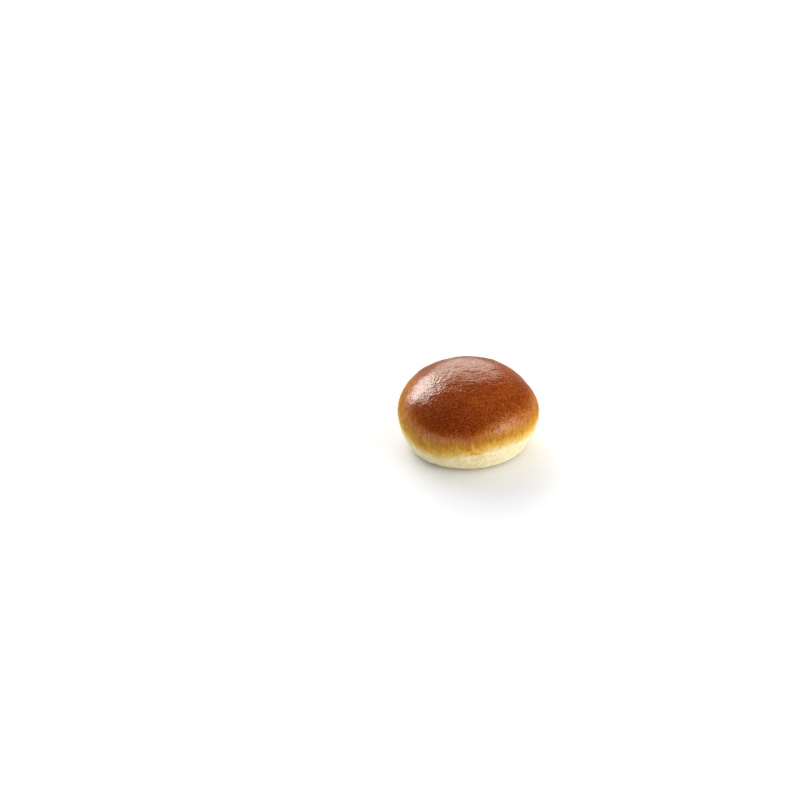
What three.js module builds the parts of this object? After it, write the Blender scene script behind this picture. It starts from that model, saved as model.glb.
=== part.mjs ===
// A round bread roll: a glazed brown dome over a pale lower band that draws in to a flat foot.
// It stands on z = 0, with the middle of its foot print at the origin. Millimetres, +Z up, front at -Y.
import * as THREE from "three";
import { ImprovedNoise } from "three/addons/math/ImprovedNoise.js";

const { degToRad, smoothstep } = THREE.MathUtils;

// Driving dimensions
const width = 96; // across the widest ring
const height = 54.6;
const widestHeight = 26.4; // of the widest ring, above the foot
const footWidth = 77.6; // where the lower band would meet the tray
const footRound = 2; // of the rounded edge there

// The hand-shaped unevenness of the whole roll
const oval = { share: 0.021, azimuth: degToRad(40) };
const triangle = { share: 0.015, azimuth: degToRad(-12) };
const lumps = { depth: 0.4, length: 16 };

// The flattened spot on the right rear shoulder, seen from the middle of the widest ring
const flatSpot = {
  azimuth: degToRad(19),
  elevation: degToRad(15),
  spread: degToRad(24),
  depth: 2.4,
};

// The lower edge of the baked crust, which stands a little proud of the pale band.
// It hangs lower at the left front, and a small peak of pale dough rises beside it.
const crustEdge = { height: 22.4, proud: 0.3, softness: 5, wave: 0.9, waveLength: 20 };
const lowStretch = { azimuth: degToRad(-112), spread: degToRad(21), drop: 3.4 };
const palePeak = { azimuth: degToRad(-78), spread: degToRad(5), rise: 1.8 };

// A short level crease and an upright dent in the front of the pale band
const crease = {
  azimuth: degToRad(-88.5),
  height: 18.4,
  halfLength: 5.2,
  halfHeight: 1.3,
  depth: 0.8,
};
const dent = {
  azimuth: degToRad(-69),
  height: 12,
  halfLength: 2.6,
  halfHeight: 4.6,
  depth: 0.55,
};

// The uneven bead where the dough met the baking tray
const footBead = { height: 1.5, halfHeight: 2.2, reach: 0.3, wave: 0.5, waveLength: 11 };

// Relief fades out over this height above the foot, which stays flat
const footFade = 4;

// The mesh: steps round each ring, and rings that are closest together at the foot
const steps = 132;
const lowerRings = 16;
const domeRings = 22;
const footCrowding = 1.5;

// Above the widest ring the outline is half an ellipse. Below it is part of a taller one.
const radius = width / 2;
const domeHeight = height - widestHeight;
const footTurn = Math.acos(footWidth / width);
const lowerReach = widestHeight / Math.sin(footTurn);
const noise = new ImprovedNoise();

// A bump of height 1 at distance 0 that fades within a few widths.
function bump(distance, halfWidth) {
  return Math.exp(-((distance / halfWidth) ** 2));
}

// The same round the roll, from one azimuth to another.
function bumpRound(azimuth, mark) {
  const apart = Math.atan2(Math.sin(azimuth - mark.azimuth), Math.cos(azimuth - mark.azimuth));
  return bump(apart, mark.spread);
}

// Noise of about -1 to 1 that changes over the given length.
function unevenness(point, length, layer) {
  return noise.noise(point.x / length + layer, point.y / length, point.z / length);
}

// A point of the smooth outline, and the direction out of the surface there.
// The turn is 0 at the widest ring and a quarter circle at the top.
function outlinePoint(turn, reach) {
  const slope = Math.hypot(Math.cos(turn) / radius, Math.sin(turn) / reach);
  return {
    r: radius * Math.cos(turn),
    z: widestHeight + reach * Math.sin(turn),
    outR: Math.cos(turn) / radius / slope,
    outZ: Math.sin(turn) / reach / slope,
  };
}

// How far the rounded edge of the foot draws in at a height.
function footRounding(z) {
  const below = Math.max(1 - z / footRound, 0);
  return footRound * (1 - Math.sqrt(1 - below ** 2));
}

// The rings of the smooth roll, from the middle of the foot up to the top.
function outlineRings() {
  const rings = [{ r: 0, z: 0, outR: 0, outZ: -1 }];
  for (let i = 0; i <= lowerRings; i++) {
    const share = (i / lowerRings) ** footCrowding;
    const ring = outlinePoint(-footTurn * (1 - share), lowerReach);
    ring.z = i === 0 ? 0 : ring.z;
    ring.r -= footRounding(ring.z);
    rings.push(ring);
  }
  for (let i = 1; i <= domeRings; i++) {
    const ring = outlinePoint(((i / domeRings) * Math.PI) / 2, domeHeight);
    ring.r = i === domeRings ? 0 : ring.r;
    rings.push(ring);
  }
  return rings;
}

// By how much the roll is wider or narrower at this azimuth than a round one.
function roundness(azimuth) {
  const ovalPart = oval.share * Math.cos(2 * (azimuth - oval.azimuth));
  return 1 + ovalPart + triangle.share * Math.cos(3 * (azimuth - triangle.azimuth));
}

// How deep the flattened spot is, in a direction from the middle of the widest ring.
function flatSpotDepth(direction) {
  const towards = new THREE.Vector3(
    Math.cos(flatSpot.elevation) * Math.cos(flatSpot.azimuth),
    Math.cos(flatSpot.elevation) * Math.sin(flatSpot.azimuth),
    Math.sin(flatSpot.elevation),
  );
  return flatSpot.depth * bump(direction.angleTo(towards), flatSpot.spread);
}

// The height of the lower edge of the baked crust at this azimuth.
function crustEdgeHeight(point, azimuth) {
  const wave = crustEdge.wave * unevenness(point, crustEdge.waveLength, 7);
  const drop = lowStretch.drop * bumpRound(azimuth, lowStretch);
  return crustEdge.height + wave - drop + palePeak.rise * bumpRound(azimuth, palePeak);
}

// A local hollow in the side, at an azimuth and a height.
function hollow(spot, point, azimuth) {
  if (Math.cos(azimuth - spot.azimuth) < 0) return 0;
  const along = Math.hypot(point.x, point.y) * Math.sin(azimuth - spot.azimuth);
  return spot.depth * bump(along, spot.halfLength) * bump(point.z - spot.height, spot.halfHeight);
}

// How far the surface stands out of the smooth roll at a point.
function relief(point, azimuth) {
  const lump = lumps.depth * unevenness(point, lumps.length, 0);
  const underEdge = crustEdgeHeight(point, azimuth) - point.z;
  const drawnIn = crustEdge.proud * smoothstep(underEdge, 0, crustEdge.softness);
  const hollows = hollow(crease, point, azimuth) + hollow(dent, point, azimuth);
  return (lump - drawnIn - hollows) * smoothstep(point.z, 0, footFade);
}

// How far the bead round the foot stands out sideways at a point.
function beadReach(point) {
  const reach = footBead.reach + footBead.wave * unevenness(point, footBead.waveLength, 5);
  return reach * bump(point.z - footBead.height, footBead.halfHeight);
}

// One point of the finished roll.
function surfacePoint(ring, azimuth) {
  const aside = new THREE.Vector3(Math.cos(azimuth), Math.sin(azimuth), 0);
  const point = aside.clone().multiplyScalar(ring.r * roundness(azimuth)).setZ(ring.z);
  if (ring.r > 0) point.addScaledVector(aside, beadReach(point));
  if (ring.z === 0) return point;
  const out = aside.clone().multiplyScalar(ring.outR).setZ(ring.outZ);
  const fromMiddle = new THREE.Vector3(point.x, point.y, point.z - widestHeight).normalize();
  point.addScaledVector(out, relief(point, azimuth));
  return point.addScaledVector(fromMiddle, -flatSpotDepth(fromMiddle));
}

// The colour of the bake at a point: pale below the crust's edge, golden at it, brown above.
function bakeColour(point, azimuth) {
  const above = point.z - crustEdgeHeight(point, azimuth);
  const golden = smoothstep(above, -2, 3);
  const baked = smoothstep(above, 3, 14);
  const gold = new THREE.Color("#cf9440");
  return new THREE.Color("#ecdcaa").lerp(gold, golden).lerp(new THREE.Color("#7a3413"), baked);
}

// The closed surface of the roll: a lathed blank whose points are then set one by one.
function rollGeometry() {
  const rings = outlineRings();
  const blank = rings.map((ring) => new THREE.Vector2(ring.r, ring.z));
  const geometry = new THREE.LatheGeometry(blank, steps);
  const positions = geometry.attributes.position;
  const colours = new Float32Array(positions.count * 3);
  for (let step = 0; step <= steps; step++) {
    const azimuth = ((step % steps) / steps) * 2 * Math.PI;
    rings.forEach((ring, i) => {
      const index = step * rings.length + i;
      const point = surfacePoint(ring, azimuth);
      positions.setXYZ(index, point.x, point.y, point.z);
      bakeColour(point, azimuth).toArray(colours, index * 3);
    });
  }
  geometry.setAttribute("color", new THREE.BufferAttribute(colours, 3));
  geometry.computeBoundingBox();
  const middle = geometry.boundingBox.getCenter(new THREE.Vector3());
  geometry.translate(-middle.x, -middle.y, 0);
  geometry.computeVertexNormals();
  return geometry;
}

function roll() {
  const crust = new THREE.MeshStandardMaterial({
    vertexColors: true,
    roughness: 0.42,
    metalness: 0,
  });
  const mesh = new THREE.Mesh(rollGeometry(), crust);
  mesh.name = "bread_roll";
  return mesh;
}

const part = new THREE.Group();
part.add(roll());

export default part;
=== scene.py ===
"""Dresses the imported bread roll: a glazed, finely wrinkled crust over a pale band, in a plain studio."""

import math

import bpy
import numpy as np
from bpy.props import FloatProperty, FloatVectorProperty, PointerProperty
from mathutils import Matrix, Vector, noise


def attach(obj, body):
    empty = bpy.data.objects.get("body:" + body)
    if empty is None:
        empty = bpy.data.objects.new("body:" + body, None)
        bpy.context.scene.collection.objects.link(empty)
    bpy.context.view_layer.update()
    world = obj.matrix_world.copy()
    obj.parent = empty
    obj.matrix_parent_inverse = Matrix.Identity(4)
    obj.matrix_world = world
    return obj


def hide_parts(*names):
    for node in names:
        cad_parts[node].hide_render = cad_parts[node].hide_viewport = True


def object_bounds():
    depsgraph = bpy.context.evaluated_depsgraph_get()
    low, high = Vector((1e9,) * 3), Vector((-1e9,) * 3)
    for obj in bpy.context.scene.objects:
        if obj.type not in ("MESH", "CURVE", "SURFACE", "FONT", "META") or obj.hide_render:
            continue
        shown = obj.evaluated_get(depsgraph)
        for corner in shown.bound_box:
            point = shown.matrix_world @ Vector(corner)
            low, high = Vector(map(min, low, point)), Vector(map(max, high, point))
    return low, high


bl_info = {
    "name": "Bread roll",
    "version": (1, 0, 0),
    "blender": (4, 5, 0),
    "location": "View3D > Sidebar > Bread roll",
    "description": "Models a glazed bread roll over its packed solid, and sets it in a plain studio",
    "category": "Add Mesh",
}

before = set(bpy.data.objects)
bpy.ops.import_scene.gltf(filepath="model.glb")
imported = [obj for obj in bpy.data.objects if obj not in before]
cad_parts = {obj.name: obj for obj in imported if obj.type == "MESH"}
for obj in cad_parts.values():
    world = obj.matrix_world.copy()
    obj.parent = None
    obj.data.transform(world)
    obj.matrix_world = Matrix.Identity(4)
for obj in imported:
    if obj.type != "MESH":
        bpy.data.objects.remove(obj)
CAD_LOW, CAD_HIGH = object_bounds()
NODE = "bread_roll"
BODY = "root"

MM = 0.001
TOP = CAD_HIGH.z
WIDTH = CAD_HIGH.x - CAD_LOW.x


def colour(red, green, blue):
    """A colour given as screen values of 0 to 255, in the linear values that the shaders use."""
    return tuple(
        (c / 255 / 12.92) if c / 255 <= 0.04045 else ((c / 255 + 0.055) / 1.055) ** 2.4
        for c in (red, green, blue)
    )


def length(name, description, default):
    """A length setting, in metres."""
    return FloatProperty(
        name=name, description=description, default=default, min=0, subtype="DISTANCE",
        unit="LENGTH", precision=5,
    )


def angle(name, description, degrees):
    return FloatProperty(
        name=name, description=description, default=math.radians(degrees), subtype="ANGLE",
        unit="ROTATION",
    )


def paint(name, description, screen_colour):
    return FloatVectorProperty(
        name=name, description=description, default=colour(*screen_colour), size=3, min=0, max=1,
        subtype="COLOR",
    )


def power(name, description, default):
    return FloatProperty(name=name, description=description, default=default, min=0)


class RollShape(bpy.types.PropertyGroup):
    """Sizes of the bake's zones, and of the relief that is finer than the solid."""

    edge_height: length("Crust edge", "Height of the lower edge of the baked crust", 21 * MM)
    low_stretch: length("Low stretch", "How much lower the crust hangs at the left front", 6.5 * MM)
    pale_peak: length("Pale peak", "How far pale dough rises into the crust at the front", 0.8 * MM)
    golden_zone: length("Golden zone", "Height over which the crust turns from pale to amber", 20.5 * MM)
    golden_left: length("Golden left", "How much taller that zone is at the left", 7 * MM)
    brown_front: length("Brown front", "How much shorter that zone is at the front", 4.5 * MM)
    browning: length("Browning", "Height over which the crust turns from amber to brown", 8 * MM)
    dimples: length("Dimples", "Depth of the broad dimples", 0.35 * MM)
    wrinkles: length("Wrinkles", "Depth of the fine ripples on the crown", 0.2 * MM)
    skin: length("Skin", "Depth of the fine, even grain of the glazed skin", 0.04 * MM)
    blisters: length("Blisters", "Height of the small blisters under the glaze", 0.08 * MM)
    stretch_marks: length("Stretch marks", "Depth of the upright marks round the waist", 0.14 * MM)
    band_grain: length("Band grain", "Depth of the grain of the pale band", 0.3 * MM)
    crease: length("Crease", "Depth of the level crease in the front of the band", 0.9 * MM)
    undercut: length("Undercut", "How far the foot draws in under the left front", 6 * MM)
    contact: length("Contact", "How far the foot's lowest edge draws in all round", 1.4 * MM)
    foot_pits: length("Foot pits", "Depth of the pits in the underside", 0.3 * MM)


class BakeColours(bpy.types.PropertyGroup):
    """Colours of the bake, from the pale band to the crown."""

    pale: paint("Pale band", "The unglazed dough at the sides", (248, 240, 203))
    straw: paint("Straw", "Where the band starts to colour", (228, 187, 94))
    gold: paint("Gold", "The lower edge of the glazed crust", (189, 131, 34))
    amber: paint("Amber", "Between gold and brown", (165, 89, 17))
    brown: paint("Brown", "The side of the dome", (127, 51, 5))
    # Dark brown: the most baked places, and also the painted shade on the front left of the dome
    dark: paint("Dark brown", "The most baked patches", (93, 31, 2))
    # Lighter specks: the thin tops of tiny blisters, and partly painted glints of the glaze
    speck_and_glint: paint("Specks", "Thin tops of tiny blisters", (216, 136, 58))
    underside: paint("Underside", "The face that lay on the baking tray", (194, 141, 78))


class Studio(bpy.types.PropertyGroup):
    """The camera, the lights and the floor."""

    pitch: angle("Camera pitch", "How far the camera looks down", 32)
    distance: length("Camera distance", "Along the camera's axis, to the foot of the roll", 1.294)
    lens: FloatProperty(name="Lens", description="Focal length", default=85, subtype="DISTANCE_CAMERA")
    window: power("Window", "Power of the window that the glaze mirrors at the left rear, in watts", 86)
    daylight: power("Daylight", "Strength of the light that the window sheds", 1.15)
    backdrop: power("Backdrop", "Brightness of the pale wall behind the roll", 3.0)
    key: power("Key", "Brightness of the large soft light at the right", 7.9)
    side: power("Side", "Strength of the even light from the right", 0.45)
    left: power("Left", "Strength of the low, even light from the left front", 0.34)
    ceiling: power("Ceiling", "Strength of the wide light from above", 2.2)
    fill: power("Fill", "Brightness of the rest of the room", 0.06)
    tint: paint("Tint", "The colour of the window's light", (255, 251, 244))
    wall: paint("Wall", "The colour of the room that the glaze mirrors", (255, 244, 227))
    floor: paint("Floor", "The table top", (240, 243, 249))
    floor_glow: power("Floor glow", "Light that the table top gives off, as a light table does", 0.03)


# Marks round the roll, as azimuths seen from above: 0 is the right side, and -90 the front.
LOW_STRETCH_AT, LOW_STRETCH_SPREAD = math.radians(-122), math.radians(28)
# The band stays pale at the right front, where the key light falls, and is darkened elsewhere as painted
# shade
LIT_BAND_AT, LIT_BAND_SPREAD = math.radians(-60), math.radians(36)
GOLDEN_LEFT_AT, GOLDEN_LEFT_SPREAD = math.radians(180), math.radians(28)
BROWN_FRONT_AT, BROWN_FRONT_SPREAD = math.radians(-92), math.radians(16)
# The darker patch on the front left of the dome is painted shade, where the dome faces away from the lights
FRONT_LEFT_SHADE_AT, FRONT_LEFT_SHADE_SPREAD = math.radians(-110), math.radians(22)
FRONT_LEFT_SHADE_HEIGHT, FRONT_LEFT_SHADE_HALF_HEIGHT = 41 * MM, 8 * MM
PALE_PEAK_AT, PALE_PEAK_SPREAD = math.radians(-73), math.radians(4.5)
UNDERCUT_AT, UNDERCUT_SPREAD = math.radians(-134), math.radians(26)
CREASE_AT, CREASE_HEIGHT = math.radians(-88.5), 18.4 * MM
CREASE_HALF_LENGTH, CREASE_HALF_HEIGHT = 4.5 * MM, 0.7 * MM

# How far below the crust's edge the dough starts to colour
COLOURS_BELOW_EDGE = 4 * MM

# Waves in the height of the crust's edge and of the golden zone: depth, size, and the layer of noise
EDGE_WAVES = (0.9 * MM, 20 * MM, 7), (0.8 * MM, 5 * MM, 9)
ZONE_WAVES = 1.5 * MM, 14 * MM, 11

# The share of the browning that lies below the top of the golden zone
BROWNING_BELOW = 0.25

# How much each zone adds to the bake
# The front left share below is painted shade, not bake
GOLDEN_BAKE, BROWNED_BAKE, FRONT_LEFT_SHADE_SHARE = 0.46, 0.18, 0.13
# Both shares below are painted shade: the band darker away from its lit right front, and the crease darker
# than the dough round it
BAND_SHADE_SHARE, CREASE_SHADE_SHARE = 0.035, 0.08

# The bake at which each colour stands
BAKE_OF_COLOURS = {"pale": 0.0, "straw": 0.13, "gold": 0.27, "amber": 0.45, "brown": 0.66, "dark": 0.95}

# The bakes between which each look sets in or fades
GLAZED_BAKES = 0.15, 0.42
COATED_BAKES = 0.18, 0.52
BLISTERED_BAKES = 0.25, 0.55
BAND_BAKES = 0.15, 0.4
UNEVEN_BAKES = 0.0, 0.4
CONTRAST_BAKES, BAND_CONTRAST = (0.25, 0.6), 0.1
STREAKED_BAKES, STREAKS_FADE_BAKES = (0.1, 0.3), (0.72, 0.5)
SATIN_BAKES, SATIN_ROUGHNESS = (0.2, 0.7), (0.75, 0.38)

# Heights between which each kind of relief sets in or fades
OFF_THE_FOOT = 0.5 * MM, 4 * MM
WRINKLED_CROWN = TOP - 10 * MM, TOP - 2 * MM
RIPPLED_CROWN = TOP - 6 * MM, TOP - 1.5 * MM
WAIST_HEIGHT, WAIST_HALF_HEIGHT = 30 * MM, 7 * MM
UNDERCUT_HEIGHTS = 1.5 * MM, 3.8 * MM
CONTACT_HEIGHTS = 0.6 * MM, 2.4 * MM
PITTED_UNDERSIDE = 0, 0.2 * MM
TANNED_UNDERSIDE = 0.3 * MM, 0.9 * MM

# Heights between which the tight round of the foot passes into the side
FOOT_ROUND = 4 * MM, 8 * MM

# Distances from the roll's axis between which the draw-in of the foot sets in
FOOT_REACH = 12 * MM, 36 * MM

# How finely the blank is divided: quarterings of a cube's faces before, between and after it is fitted
FIRST_QUARTERINGS, FITTED_QUARTERINGS, LAST_QUARTERINGS = 4, 1, 1

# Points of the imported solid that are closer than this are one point
SAME_POINT = 0.01 * MM

# A vertex group's weights are kept in this many steps
WEIGHT_STEPS = 100


def select_only(piece):
    bpy.ops.object.select_all(action="DESELECT")
    piece.select_set(True)
    bpy.context.view_layer.objects.active = piece


def apply_modifier(piece, kind, **settings):
    select_only(piece)
    modifier = piece.modifiers.new(kind.lower(), kind)
    for name, value in settings.items():
        setattr(modifier, name, value)
    bpy.ops.object.modifier_apply(modifier=modifier.name)


def quarter(piece, times):
    """Divides each face into four, with the surface smoothed."""
    apply_modifier(piece, "SUBSURF", levels=times, render_levels=times)


def fit(piece, core, group=""):
    """Draws the surface, or the part of it in a vertex group, onto the core."""
    apply_modifier(piece, "SHRINKWRAP", target=core, wrap_method="NEAREST_SURFACEPOINT", vertex_group=group)


def smoothstep(value, low, high):
    share = np.clip((value - low) / (high - low), 0, 1)
    return share * share * (3 - 2 * share)


def bump(distance, half_width):
    """1 at distance 0, fading within a few widths."""
    return np.exp(-((distance / half_width) ** 2))


def points_of(piece):
    """The points of a mesh, as rows of x, y and z."""
    points = np.empty(len(piece.data.vertices) * 3)
    piece.data.vertices.foreach_get("co", points)
    return points.reshape(-1, 3)


def waves(points, depth, size, layer):
    """Noise of about the depth up and down at each point, which changes over the given size."""
    shift = Vector((layer, 0, 0))
    return depth * np.array([noise.noise(Vector(p) / size + shift) for p in points])


def azimuths_of(points):
    return np.arctan2(points[:, 1], points[:, 0])


def turn_between(azimuths, mark):
    return np.arctan2(np.sin(azimuths - mark), np.cos(azimuths - mark))


def near(points, mark, spread):
    """1 at an azimuth round the roll, fading to 0 on both sides of it."""
    return bump(turn_between(azimuths_of(points), mark), spread)


def add_group(piece, name, weights):
    """A vertex group with a weight for each point, rounded to a step."""
    group = piece.vertex_groups.new(name=name)
    levels = np.round(weights * WEIGHT_STEPS).astype(int)
    for level in range(1, WEIGHT_STEPS + 1):
        members = np.flatnonzero(levels == level)
        if len(members):
            group.add(members.tolist(), level / WEIGHT_STEPS, "REPLACE")


def packed_core():
    """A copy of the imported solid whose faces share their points."""
    core = bpy.data.objects.new("core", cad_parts[NODE].data.copy())
    bpy.context.scene.collection.objects.link(core)
    select_only(core)
    bpy.ops.object.mode_set(mode="EDIT")
    bpy.ops.mesh.select_all(action="SELECT")
    bpy.ops.mesh.remove_doubles(threshold=SAME_POINT)
    bpy.ops.object.mode_set(mode="OBJECT")
    return core


def fitted_blank():
    """A cube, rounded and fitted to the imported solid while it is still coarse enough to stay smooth."""
    core = packed_core()
    bpy.ops.object.select_all(action="DESELECT")
    middle = (CAD_LOW + CAD_HIGH) / 2
    bpy.ops.mesh.primitive_cube_add(size=WIDTH, location=middle)
    blank = bpy.context.object
    blank.name = "crust"
    quarter(blank, FIRST_QUARTERINGS)
    apply_modifier(blank, "CAST", cast_type="SPHERE", factor=1, size=WIDTH / 2)
    bpy.ops.transform.resize(value=(1, 1, (TOP - CAD_LOW.z) / WIDTH), center_override=middle)
    bpy.ops.object.transform_apply(location=True, rotation=True, scale=True)
    fit(blank, core)
    quarter(blank, FITTED_QUARTERINGS)
    fit(blank, core)
    quarter(blank, LAST_QUARTERINGS)
    add_group(blank, "foot", 1 - smoothstep(points_of(blank)[:, 2], *FOOT_ROUND))
    fit(blank, core, "foot")
    quarter(blank, LAST_QUARTERINGS)
    bpy.data.objects.remove(core)
    return blank


def crust_edge(shape, points):
    """The height of the crust's lower edge at the azimuth of each point."""
    wave = sum(waves(points, *each) for each in EDGE_WAVES)
    drop = shape.low_stretch * near(points, LOW_STRETCH_AT, LOW_STRETCH_SPREAD)
    peak = shape.pale_peak * near(points, PALE_PEAK_AT, PALE_PEAK_SPREAD)
    return shape.edge_height + wave - drop + peak


def crease_of(points):
    """1 in the middle of the crease, fading to 0 at its ends and lips."""
    along = np.hypot(points[:, 0], points[:, 1]) * turn_between(azimuths_of(points), CREASE_AT)
    return bump(along, CREASE_HALF_LENGTH) * bump(points[:, 2] - CREASE_HEIGHT, CREASE_HALF_HEIGHT)


def bake_of(shape, points):
    """How baked the roll looks: 0 is pale dough, 0.64 brown, and more the painted shade on the front left
    of the dome.
    """
    height = points[:, 2]
    pale_up_to = crust_edge(shape, points) - COLOURS_BELOW_EDGE
    zone = shape.golden_zone + waves(points, *ZONE_WAVES)
    zone += shape.golden_left * near(points, GOLDEN_LEFT_AT, GOLDEN_LEFT_SPREAD)
    zone -= shape.brown_front * near(points, BROWN_FRONT_AT, BROWN_FRONT_SPREAD)
    golden = np.clip((height - pale_up_to) / zone, 0, 1)
    brown_from = pale_up_to + zone - shape.browning * BROWNING_BELOW
    browned = smoothstep(height, brown_from, brown_from + shape.browning)
    # Painted shade: the dome is darkened on its front left, where it faces away from the lights
    front_left_shade = near(points, FRONT_LEFT_SHADE_AT, FRONT_LEFT_SHADE_SPREAD)
    front_left_shade *= bump(height - FRONT_LEFT_SHADE_HEIGHT, FRONT_LEFT_SHADE_HALF_HEIGHT)
    # Painted shade: the band is darkened everywhere but at its lit right front
    band_shade = (1 - near(points, LIT_BAND_AT, LIT_BAND_SPREAD)) * (1 - golden)
    # The crease's share darkens the crease as painted shade; the groove itself is pressed into the mesh
    return (
        GOLDEN_BAKE * golden + BROWNED_BAKE * browned + FRONT_LEFT_SHADE_SHARE * front_left_shade
        + BAND_SHADE_SHARE * band_shade + CREASE_SHADE_SHARE * crease_of(points)
    )


def weight_groups(piece, shape):
    """Vertex groups that say where each kind of relief goes."""
    points = points_of(piece)
    height = points[:, 2]
    bake = bake_of(shape, points)
    off_the_foot = smoothstep(height, *OFF_THE_FOOT)
    groups = {
        "side": off_the_foot,
        "glaze": smoothstep(bake, *BLISTERED_BAKES),
        "crown": smoothstep(height, *WRINKLED_CROWN),
        "waist": bump(height - WAIST_HEIGHT, WAIST_HALF_HEIGHT),
        "band": off_the_foot * (1 - smoothstep(bake, *BAND_BAKES)),
        "crease": crease_of(points),
        "underside": 1 - smoothstep(height, *PITTED_UNDERSIDE),
    }
    for name, weights in groups.items():
        add_group(piece, name, weights)


def cloud_texture(name, size, layers=1):
    texture = bpy.data.textures.new(name, "CLOUDS")
    texture.noise_scale = size
    texture.noise_depth = layers
    return texture


def cell_texture(name, size):
    texture = bpy.data.textures.new(name, "VORONOI")
    texture.noise_scale = size
    return texture


def press(piece, texture, depth, group, stretch=(1, 1, 1), mid_level=0.5, direction="NORMAL"):
    """Moves the surface in and out by a texture, which may be drawn out along an axis."""
    guide = bpy.data.objects.new("guide", None)
    bpy.context.scene.collection.objects.link(guide)
    guide.scale = stretch
    bpy.context.view_layer.update()
    apply_modifier(
        piece, "DISPLACE", texture=texture, texture_coords="OBJECT", texture_coords_object=guide,
        strength=depth, vertex_group=group, mid_level=mid_level, direction=direction,
    )
    bpy.data.objects.remove(guide)


def draw_in(piece, name, weights, depth):
    """Moves the surface level towards the roll's axis, and leaves the middle of the foot as it is."""
    points = points_of(piece)
    weights = weights * smoothstep(np.hypot(points[:, 0], points[:, 1]), *FOOT_REACH)
    azimuths = azimuths_of(points)
    for direction, inwards in (("X", -np.cos(azimuths)), ("Y", -np.sin(azimuths))):
        for sign in (1, -1):
            group = f"{name} {direction} {sign}"
            add_group(piece, group, weights * np.clip(sign * inwards, 0, 1))
            press(piece, None, sign * depth, group, mid_level=0, direction=direction)


def shape_foot(piece, shape):
    """Draws the foot in where it meets the table, and pits its underside."""
    points = points_of(piece)
    height = points[:, 2]
    left_front = near(points, UNDERCUT_AT, UNDERCUT_SPREAD)
    draw_in(piece, "undercut", left_front * (1 - smoothstep(height, *UNDERCUT_HEIGHTS)), shape.undercut)
    draw_in(piece, "contact", 1 - smoothstep(height, *CONTACT_HEIGHTS), shape.contact)
    pits = cloud_texture("foot pits", size=2.2 * MM, layers=2)
    press(piece, pits, shape.foot_pits, "underside", direction="Z")
    points = points_of(piece)
    points[:, 2] = np.maximum(points[:, 2], CAD_LOW.z)
    piece.data.vertices.foreach_set("co", points.ravel())
    piece.data.update()


def shape_relief(piece, shape):
    """Presses in each kind of relief. Clouds move the surface by up to half their strength each way."""
    dimples = cloud_texture("dimples", size=9 * MM, layers=2)
    wrinkles = cloud_texture("wrinkles", size=1.2 * MM)
    skin = cloud_texture("skin", size=1.1 * MM)
    blisters = cell_texture("blisters", size=1.6 * MM)
    stretch_marks = cloud_texture("stretch marks", size=1.5 * MM)
    band_grain = cloud_texture("band grain", size=1.6 * MM, layers=3)
    press(piece, dimples, 2 * shape.dimples, "side")
    press(piece, wrinkles, 2 * shape.wrinkles, "crown", stretch=(1.7, 1, 1))
    press(piece, skin, 2 * shape.skin, "glaze")
    press(piece, blisters, shape.blisters, "glaze")
    press(piece, stretch_marks, 2 * shape.stretch_marks, "waist", stretch=(1, 1, 7))
    press(piece, band_grain, 2 * shape.band_grain, "band")
    press(piece, None, -shape.crease, "crease", mid_level=0)


def store(piece, name, values):
    """Keeps a value at each point of the mesh, for the material to read."""
    attribute = piece.data.attributes.new(name, "FLOAT", "POINT")
    attribute.data.foreach_set("value", values.astype(np.float32))


class Shader:
    """The nodes of a material or a world, added and linked in one call each."""

    def __init__(self, owner):
        owner.use_nodes = True
        self.tree = owner.node_tree
        self.tree.nodes.clear()

    def plug(self, socket, value):
        """Links another node's output to a socket, or sets the socket to a plain value."""
        if isinstance(value, bpy.types.NodeSocket):
            self.tree.links.new(value, socket)
        else:
            socket.default_value = value

    def add(self, kind, inputs, **settings):
        node = self.tree.nodes.new(kind)
        for name, value in settings.items():
            setattr(node, name, value)
        for socket, value in inputs.items():
            self.plug(node.inputs[socket], value)
        return node

    def maths(self, operation, first, second):
        return self.add("ShaderNodeMath", {0: first, 1: second}, operation=operation).outputs[0]

    def times(self, first, second):
        return self.maths("MULTIPLY", first, second)

    def plus(self, first, second):
        return self.maths("ADD", first, second)

    def less(self, first, second):
        return self.maths("SUBTRACT", first, second)

    def between(self, value, low, high, to_low=0.0, to_high=1.0):
        """The value's place between two others, smoothly, as a number between to_low and to_high."""
        inputs = {"Value": value, "From Min": low, "From Max": high, "To Min": to_low, "To Max": to_high}
        return self.add("ShaderNodeMapRange", inputs, interpolation_type="SMOOTHSTEP").outputs["Result"]

    def attribute(self, name):
        return self.add("ShaderNodeAttribute", {}, attribute_name=name).outputs["Fac"]

    def clouds(self, place, per_metre, detail, rough=0.5):
        inputs = {"Vector": place, "Scale": per_metre, "Detail": detail, "Roughness": rough}
        return self.add("ShaderNodeTexNoise", inputs)

    def cells(self, place, per_metre, **settings):
        return self.add("ShaderNodeTexVoronoi", {"Vector": place, "Scale": per_metre}, **settings)

    def mix(self, share, first, second):
        node = self.add("ShaderNodeMix", {"Factor": share}, data_type="RGBA")
        first_colour, second_colour = node.inputs[6], node.inputs[7]
        self.plug(first_colour, first)
        self.plug(second_colour, second)
        return node.outputs[2]

    def scaled(self, vector, share):
        node = self.add("ShaderNodeVectorMath", {0: vector, "Scale": share}, operation="SCALE")
        return node.outputs["Vector"]

    def ramp(self, value, stops):
        node = self.add("ShaderNodeValToRGB", {"Fac": value})
        elements = node.color_ramp.elements
        while len(elements) < len(stops):
            elements.new(0.5)
        for element, (position, stop_colour) in zip(elements, stops):
            element.position = position
            element.color = (*stop_colour, 1)
        return node.outputs["Color"]

    def bumped(self, height, depth, under=None):
        inputs = {"Height": height, "Distance": depth, "Strength": 1.0}
        if under is not None:
            inputs["Normal"] = under
        return self.add("ShaderNodeBump", inputs).outputs["Normal"]


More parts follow.
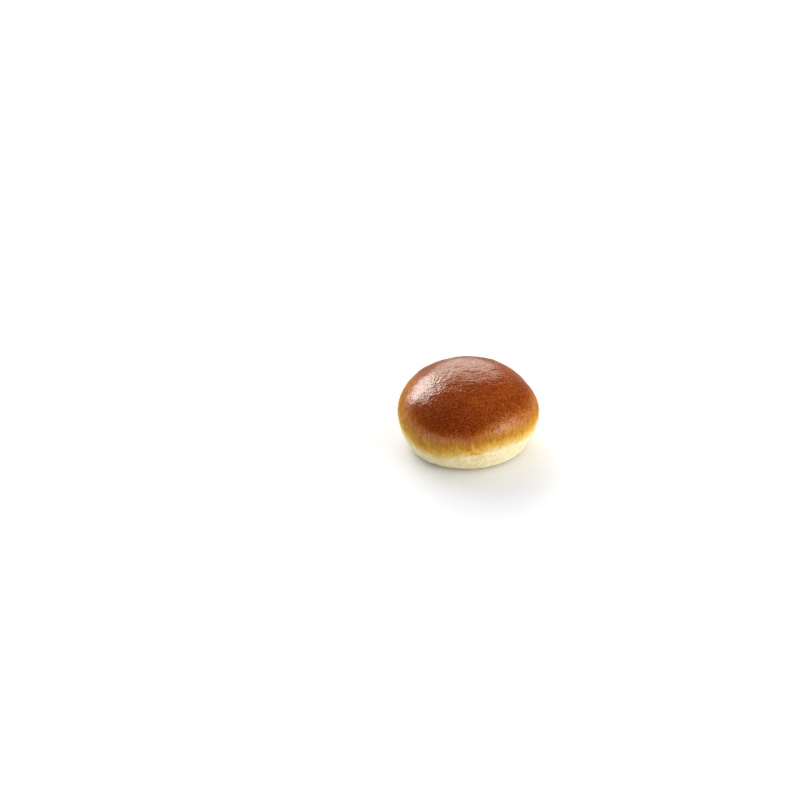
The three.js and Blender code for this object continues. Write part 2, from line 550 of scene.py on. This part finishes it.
# The crust's noise patterns: features per metre, layers of detail, roughness, and scale along x, y and z
PATTERNS = {
    "broad": (60, 3, 0.5, None),
    "mottled": (260, 4, 0.6, None),
    "blotches": (300, 4, 0.65, None),
    "pores": (520, 4, 0.6, None),
    "streaks": (520, 3, 0.6, (1, 1, 0.2)),
    "ripples": (560, 3, 0.55, (0.65, 1, 1)),
    "wavy": (850, 2, 0.5, None),
    "grain": (1400, 3, 0.65, None),
    "leather": (1500, 3, 0.6, None),
}

# How much each pattern shifts the bake, and the share of that which is left on the pale band
BAKE_SHIFTS = {"broad": (0.12, 1), "mottled": (0.26, 0.6), "grain": (0.16, 0.1)}
STREAKS_SHIFT = 0.4

# The network of cracks: cells per metre, how far and how finely its lines stray, how far from the edge of
# a cell they fade, and the mottling between which values they appear
CRACKS_PER_METRE, CRACKS_STRAY, CRACKS_STRAYS_PER_METRE = 150, 3 * MM, 180
CRACK_FADES, CRACKED_MOTTLING = (0.06, 0.0), (0.48, 0.62)
# How much the cracks are darkened, which is painted shade in them, and how deep their shaded relief is
CRACK_SHADE, CRACK_DEPTH = 0.07, 0.08

# The tiny blisters: how many per metre, how far from their middle they fade, which of them show, and how
# strong their lighter colour, partly painted glints, and their relief are
BLISTERS_PER_METRE = 640
BLISTER_FADES, BLISTER_CHANCES = (0.45, 0.1), (0.55, 0.95)
BLISTER_COLOUR, BLISTER_HEIGHT = 0.36, 0.3

# What a pattern does to a look: the values between which it acts, and what the look goes from and to
GRAIN_TONE = 0.36, 0.64, 0.43, 1.62
GRAIN_FLECKS_AND_GLINTS = 0.5, 0.75, 0.0, 0.17
BLOTCH_TONE = 0.35, 0.65, 0.9, 1.03
GLAZE_MOTTLING = 0.2, 0.6, 0.75, 1.0
DULLED_BY_TURNING_AWAY = 0.42, 0.7, 0.0, 0.92
GRAIN_ROUGHNESS = 0.2

# How strong each pattern is in the shaded relief of the crust
WAVY_HEIGHT, LEATHER_HEIGHT, RIPPLES_HEIGHT = 1.3, 0.4, 2.0

# How deep the shaded relief of the glazed crust and of the matt band is
GLAZED_RELIEF, BAND_RELIEF = 0.18 * MM, 0.9 * MM


class CrustShader(Shader):
    """The crust's patterns, and the colour, the relief and the glaze that are made of them."""

    def __init__(self, material):
        super().__init__(material)
        self.place = self.add("ShaderNodeTexCoord", {}).outputs["Object"]
        self.bake = self.attribute("bake")
        self.crown = self.attribute("crown")
        self.underside = self.attribute("underside")
        self.glazed = self.between(self.bake, *GLAZED_BAKES)
        self.matt = self.less(1.0, self.glazed)
        self.patterns = {name: self.pattern(*values) for name, values in PATTERNS.items()}
        self.streaked = self.times(
            self.between(self.bake, *STREAKED_BAKES), self.between(self.bake, *STREAKS_FADE_BAKES)
        )
        self.cracked = self.cracks_of_the_band()
        self.speckled = self.tops_of_blisters()

    def pattern(self, per_metre, detail, rough, scale):
        place = self.place
        if scale:
            place = self.add("ShaderNodeMapping", {"Vector": place, "Scale": scale}).outputs["Vector"]
        return self.clouds(place, per_metre, detail, rough).outputs["Fac"]

    def wander(self, value, amount):
        """A pattern as a number that goes up and down from 0."""
        return self.times(self.less(value, 0.5), amount)

    def cracks_of_the_band(self):
        """1 on the thin, broken cracks of the matt band."""
        stray = self.clouds(self.place, CRACKS_STRAYS_PER_METRE, 3.0).outputs["Color"]
        inputs = {0: stray, 1: (CRACKS_STRAY,) * 3, 2: self.place}
        strayed = self.add("ShaderNodeVectorMath", inputs, operation="MULTIPLY_ADD").outputs["Vector"]
        edges = self.cells(strayed, CRACKS_PER_METRE, feature="DISTANCE_TO_EDGE").outputs["Distance"]
        patches = self.between(self.patterns["mottled"], *CRACKED_MOTTLING)
        return self.times(self.times(self.between(edges, *CRACK_FADES), patches), self.matt)

    def tops_of_blisters(self):
        """1 on the tops of some of the tiny blisters under the glaze."""
        dots = self.cells(self.place, BLISTERS_PER_METRE)
        chance = self.add("ShaderNodeSeparateColor", {"Color": dots.outputs["Color"]}).outputs[0]
        small = self.between(dots.outputs["Distance"], *BLISTER_FADES)
        return self.times(self.times(small, self.between(chance, *BLISTER_CHANCES)), self.glazed)

    def uneven_bake(self):
        """The bake, shifted up and down by the patterns."""
        uneven = self.bake
        for name, (amount, on_the_band) in BAKE_SHIFTS.items():
            share = self.between(self.bake, *UNEVEN_BAKES, on_the_band, 1)
            uneven = self.plus(uneven, self.times(self.wander(self.patterns[name], amount), share))
        streaks = self.wander(self.patterns["streaks"], STREAKS_SHIFT)
        return self.plus(uneven, self.times(streaks, self.streaked))

    def baked_colour(self, colours):
        stops = [(bake, getattr(colours, name)) for name, bake in BAKE_OF_COLOURS.items()]
        baked = self.ramp(self.uneven_bake(), stops)

        speck_and_glint = (*colours.speck_and_glint, 1)
        grain = self.patterns["grain"]
        contrast = self.between(self.bake, *CONTRAST_BAKES, BAND_CONTRAST, 1)
        tone = self.less(self.between(grain, *GRAIN_TONE), 1.0)
        baked = self.scaled(baked, self.plus(1.0, self.times(tone, contrast)))
        # Flecks of the speck colour in the grain, partly painted glints
        flecks_and_glints = self.times(self.between(grain, *GRAIN_FLECKS_AND_GLINTS), contrast)
        baked = self.mix(flecks_and_glints, baked, speck_and_glint)

        blotches = self.between(self.patterns["blotches"], *BLOTCH_TONE)
        # The blotches are the band's own uneven tone; darkening the cracks paints shade in them
        blotches_and_crack_shade = self.less(blotches, self.times(self.cracked, CRACK_SHADE))
        baked = self.scaled(baked, self.maths("MAXIMUM", blotches_and_crack_shade, self.glazed))
        # The tops of blisters take the speck colour, partly as painted glints
        baked = self.mix(self.times(self.speckled, BLISTER_COLOUR), baked, speck_and_glint)
        return self.mix(self.underside, baked, (*colours.underside, 1))

    def relief(self):
        """The direction of the surface, with the marks that are too fine for the mesh."""
        height = self.times(self.patterns["wavy"], WAVY_HEIGHT)
        for value, share in (
            (self.patterns["leather"], LEATHER_HEIGHT),
            (self.patterns["ripples"], self.times(self.crown, RIPPLES_HEIGHT)),
            (self.speckled, BLISTER_HEIGHT),
            (self.patterns["streaks"], self.streaked),
        ):
            height = self.plus(height, self.times(value, share))
        glazed_normal = self.bumped(self.times(height, self.glazed), GLAZED_RELIEF)
        pores = self.times(self.patterns["pores"], self.matt)
        band = self.less(pores, self.times(self.cracked, CRACK_DEPTH))
        return self.bumped(band, BAND_RELIEF, glazed_normal)

    def glaze(self):
        """How thick the glaze is. It is dulled where the side turns away, which keeps the outline brown."""
        mottling = self.between(self.patterns["mottled"], *GLAZE_MOTTLING)
        thick = self.times(self.between(self.bake, *COATED_BAKES), mottling)
        facing = self.add("ShaderNodeLayerWeight", {"Blend": 0.5}).outputs["Facing"]
        turned = self.between(facing, *DULLED_BY_TURNING_AWAY)
        return self.times(thick, self.less(1.0, self.times(turned, self.less(1.0, self.crown))))

    def roughness(self):
        satin = self.between(self.bake, *SATIN_BAKES, *SATIN_ROUGHNESS)
        return self.plus(satin, self.wander(self.patterns["grain"], GRAIN_ROUGHNESS))


def crust_material(colours):
    """Pale and matt where the bake is low, golden at the crust's edge, and brown and glazed above it."""
    material = bpy.data.materials.new("baked crust")
    shader = CrustShader(material)
    normal = shader.relief()
    surface = shader.add("ShaderNodeBsdfPrincipled", {
        "Base Color": shader.baked_colour(colours), "Roughness": shader.roughness(), "Normal": normal,
        "Coat Weight": shader.glaze(), "Coat Normal": normal, "Coat Roughness": 0.12,
        "Specular IOR Level": 0.02, "Subsurface Weight": 0.06, "Subsurface Radius": (1.0, 0.5, 0.2),
        "Subsurface Scale": 2 * MM,
    })
    shader.add("ShaderNodeOutputMaterial", {"Surface": surface.outputs[0]})
    return material


class BREADROLL_OT_model_roll(bpy.types.Operator):
    """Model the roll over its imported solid, with its relief and its baked colours"""

    bl_idname = "breadroll.model_roll"
    bl_label = "Model the roll"

    def execute(self, context):
        shape = context.scene.roll_shape
        roll = fitted_blank()
        weight_groups(roll, shape)
        shape_relief(roll, shape)
        shape_foot(roll, shape)
        roll.vertex_groups.clear()
        points = points_of(roll)
        store(roll, "bake", bake_of(shape, points))
        store(roll, "crown", smoothstep(points[:, 2], *RIPPLED_CROWN))
        store(roll, "underside", 1 - smoothstep(points[:, 2], *TANNED_UNDERSIDE))
        select_only(roll)
        bpy.ops.object.shade_smooth()
        roll.data.materials.append(crust_material(context.scene.bake_colours))
        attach(roll, BODY)
        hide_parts(NODE)
        return {"FINISHED"}


# Where the middle of the roll's foot lies in the picture, and the picture's width, in pixels
FOOT_IN_PICTURE = (467.7, 439.4)
PICTURE_WIDTH = 800

# The width of the camera's sensor, in millimetres
SENSOR_WIDTH = 36.0

# Where each light is, as an azimuth and an elevation in degrees, and how wide
WINDOW_AT, WINDOW_WIDTH, WINDOW_HEIGHT = (128, 25), 1.6, 1.7
WIDE_LIGHTS = {
    "daylight": ((127, 34), 45),
    "ceiling": ((85, 72), 125),
    "side": ((-8, 28), 60),
    "left": ((-155, 12), 50),
}

# The bright places of the room: where they are, and how far from their middle they start and end fading
GLOWS = {
    "backdrop": ((94, 19), 12, 28),
    "key": ((-26, 4), 5, 29),
}

LIGHT_DISTANCE = 3.0

# The table top is just below the foot, so that the two don't flicker
FLOOR_SIZE, FLOOR_HEIGHT = 30, -0.1 * MM


def add_camera(studio):
    """A camera that sees the middle of the foot at its place in the picture."""
    data = bpy.data.cameras.new("camera")
    data.lens = studio.lens
    data.sensor_width = SENSOR_WIDTH
    camera = bpy.data.objects.new("camera", data)
    bpy.context.scene.collection.objects.link(camera)
    ahead = Vector((0, math.cos(studio.pitch), -math.sin(studio.pitch)))
    up = Vector((0, math.sin(studio.pitch), math.cos(studio.pitch)))
    right = Vector((1, 0, 0))
    per_pixel = studio.distance * SENSOR_WIDTH / studio.lens / PICTURE_WIDTH
    aside = (FOOT_IN_PICTURE[0] - PICTURE_WIDTH / 2) * per_pixel
    below = (FOOT_IN_PICTURE[1] - PICTURE_WIDTH / 2) * per_pixel
    camera.location = -(ahead * studio.distance + right * aside - up * below)
    camera.rotation_euler = (math.pi / 2 - studio.pitch, 0, 0)
    bpy.context.scene.camera = camera


def towards(azimuth, elevation):
    """The direction from the roll to a place in the room, given in degrees."""
    a, e = math.radians(azimuth), math.radians(elevation)
    return Vector((math.cos(a) * math.cos(e), math.sin(a) * math.cos(e), math.sin(e)))


def add_light(name, kind, strength, place):
    """A light that faces the roll from a place in the room."""
    data = bpy.data.lights.new(name, kind)
    data.energy = strength
    light = bpy.data.objects.new(name, data)
    bpy.context.scene.collection.objects.link(light)
    away = towards(*place)
    light.location = away * LIGHT_DISTANCE
    light.rotation_euler = away.to_track_quat("Z", "Y").to_euler()
    return light


def add_window(studio):
    """A window that only the glaze mirrors. The light that it sheds is a wide light of its own."""
    window = add_light("window", "AREA", studio.window, WINDOW_AT)
    window.data.color = studio.tint
    window.data.shape = "RECTANGLE"
    window.data.size = WINDOW_WIDTH
    window.data.size_y = WINDOW_HEIGHT
    window.visible_diffuse = False


def add_wide_lights(studio):
    """Wide, even lights that are too diffuse to be mirrored in the glaze."""
    for name, (place, spread) in WIDE_LIGHTS.items():
        light = add_light(name, "SUN", getattr(studio, name), place)
        light.data.angle = math.radians(spread)
        light.visible_glossy = False


def add_room(studio):
    """A dim room, bright behind the roll and at its right, which the camera sees as plain white."""
    world = bpy.data.worlds.new("room")
    bpy.context.scene.world = world
    room = Shader(world)
    direction = room.add("ShaderNodeTexCoord", {}).outputs["Generated"]
    bright = studio.fill
    for name, (place, inner, outer) in GLOWS.items():
        inputs = {0: direction, 1: towards(*place)}
        facing = room.add("ShaderNodeVectorMath", inputs, operation="DOT_PRODUCT").outputs["Value"]
        low, high = (math.cos(math.radians(turn)) for turn in (outer, inner))
        bright = room.plus(bright, room.between(facing, low, high, 0.0, getattr(studio, name)))
    mirrored = room.add("ShaderNodeBackground", {"Color": (*studio.wall, 1), "Strength": bright})
    plain = room.add("ShaderNodeBackground", {"Color": (1, 1, 1, 1), "Strength": 1.0})
    seen = room.add("ShaderNodeLightPath", {}).outputs["Is Camera Ray"]
    both = room.add("ShaderNodeMixShader", {0: seen, 1: mirrored.outputs[0], 2: plain.outputs[0]})
    room.add("ShaderNodeOutputWorld", {"Surface": both.outputs[0]})


def add_floor(studio):
    bpy.ops.object.select_all(action="DESELECT")
    bpy.ops.mesh.primitive_plane_add(size=FLOOR_SIZE, location=(0, 0, FLOOR_HEIGHT))
    floor = bpy.context.object
    floor.name = "floor"
    material = bpy.data.materials.new("table top")
    shader = Shader(material)
    surface = shader.add("ShaderNodeBsdfPrincipled", {
        "Base Color": (*studio.floor, 1), "Roughness": 0.6, "Specular IOR Level": 0.1,
        "Emission Color": (1, 1, 1, 1), "Emission Strength": studio.floor_glow,
    })
    shader.add("ShaderNodeOutputMaterial", {"Surface": surface.outputs[0]})
    floor.data.materials.append(material)


class BREADROLL_OT_set_studio(bpy.types.Operator):
    """Set up the floor, the lights and the camera"""

    bl_idname = "breadroll.set_studio"
    bl_label = "Set up the studio"

    def execute(self, context):
        studio = context.scene.studio
        context.scene.view_settings.view_transform = "Standard"
        add_floor(studio)
        add_room(studio)
        add_window(studio)
        add_wide_lights(studio)
        add_camera(studio)
        return {"FINISHED"}


class BREADROLL_PT_panel(bpy.types.Panel):
    """The roll's settings and steps"""

    bl_label = "Bread roll"
    bl_idname = "BREADROLL_PT_panel"
    bl_space_type = "VIEW_3D"
    bl_region_type = "UI"
    bl_category = "Bread roll"

    def draw(self, context):
        for name, step in (
            ("roll_shape", None),
            ("bake_colours", BREADROLL_OT_model_roll),
            ("studio", BREADROLL_OT_set_studio),
        ):
            settings = getattr(context.scene, name)
            for setting in settings.bl_rna.properties:
                if not setting.is_readonly and setting.identifier != "name":
                    self.layout.prop(settings, setting.identifier)
            if step:
                self.layout.operator(step.bl_idname)


SETTINGS = {"roll_shape": RollShape, "bake_colours": BakeColours, "studio": Studio}
CLASSES = (*SETTINGS.values(), BREADROLL_OT_model_roll, BREADROLL_OT_set_studio, BREADROLL_PT_panel)


def register():
    for each in CLASSES:
        bpy.utils.register_class(each)
    for name, group in SETTINGS.items():
        setattr(bpy.types.Scene, name, PointerProperty(type=group))


def unregister():
    for name in SETTINGS:
        delattr(bpy.types.Scene, name)
    for each in reversed(CLASSES):
        bpy.utils.unregister_class(each)


def main():
    register()
    bpy.ops.breadroll.set_studio()
    bpy.ops.breadroll.model_roll()


if __name__ == "__main__":
    main()
